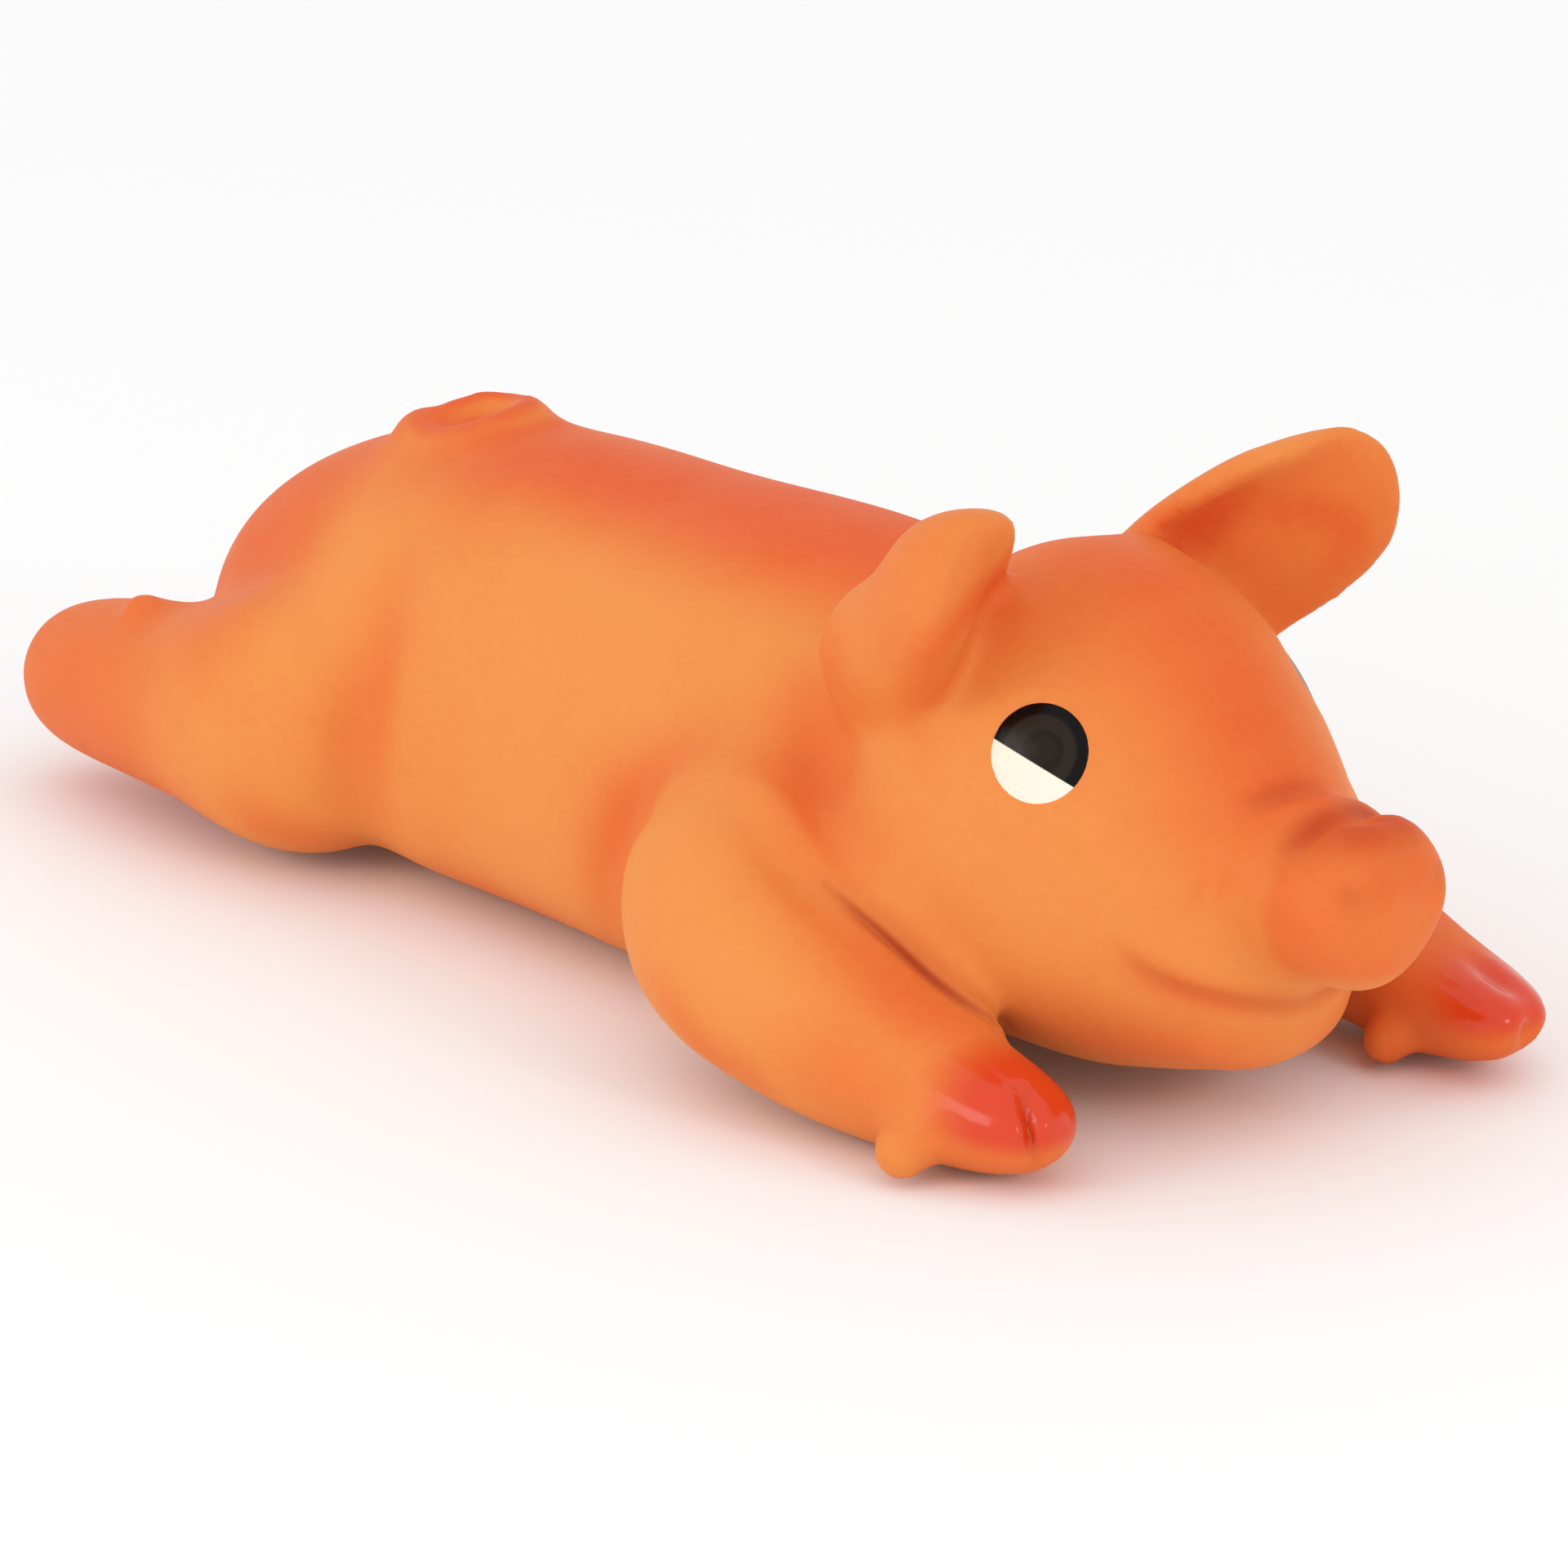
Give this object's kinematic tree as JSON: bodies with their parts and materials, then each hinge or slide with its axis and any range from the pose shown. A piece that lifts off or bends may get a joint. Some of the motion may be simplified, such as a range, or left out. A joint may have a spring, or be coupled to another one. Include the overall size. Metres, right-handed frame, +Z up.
{
  "type": "squeaking latex dog toy",
  "caption": "Stuffed latex pig dog toy that lies on its belly, with a sprung voice unit that sounds when the body is squeezed.",
  "frame": {"origin": "on the ground under the middle of the toy's length and width", "axes": "+X the way the pig faces, +Y its left side, +Z up"},
  "size_m": [0.2319, 0.1074, 0.0786],
  "materials": {
    "latex": "satin, airbrushed darker orange on the back, snout and ears, glossy red on the front feet",
    "wadding": "white polyester fibre",
    "eye_paint": "glossy black and cream enamel",
    "white_plastic": "moulded, off-white",
    "bellows_plastic": "soft translucent moulding",
    "spring_steel": "drawn wire",
    "reed_brass": "thin strip"
  },
  "bodies": {
    "pig": {"left_foreleg": "latex", "left_foreleg_filling": "wadding", "right_foreleg": "latex", "right_foreleg_filling": "wadding", "left_hind_leg": "latex", "left_hind_leg_filling": "wadding", "right_hind_leg": "latex", "right_hind_leg_filling": "wadding", "head_skin": "latex", "left_ear": "latex", "right_ear": "latex", "body_skin": "latex", "tail": "latex", "belly_plug": "latex", "head_filling": "wadding", "body_filling": "wadding", "left_eye": "eye_paint", "right_eye": "eye_paint", "voice_base": "white_plastic", "reed_block": "white_plastic", "reed_clip": "white_plastic", "voice_bellows": "bellows_plastic", "voice_spring": "spring_steel"},
    "squeeze_plate": {"voice_top": "white_plastic"},
    "reed": {"reed_tongue": "reed_brass"}
  },
  "joints": [
    {"name": "voice_squeeze", "type": "slide", "parent": "pig", "child": "squeeze_plate", "axis": [0, 0, 1], "range_m": [-0.008, 0], "stiffness_N_per_m": 150, "deforming": ["voice_bellows", "voice_spring"]},
    {"name": "reed_flutter", "type": "hinge", "parent": "pig", "child": "reed", "pos_m": [-0.0082, 0, 0.01545], "axis": [0, 1, 0], "range_deg": [-5, 3], "stiffness_Nm_per_rad": 0.0004}
  ]
}
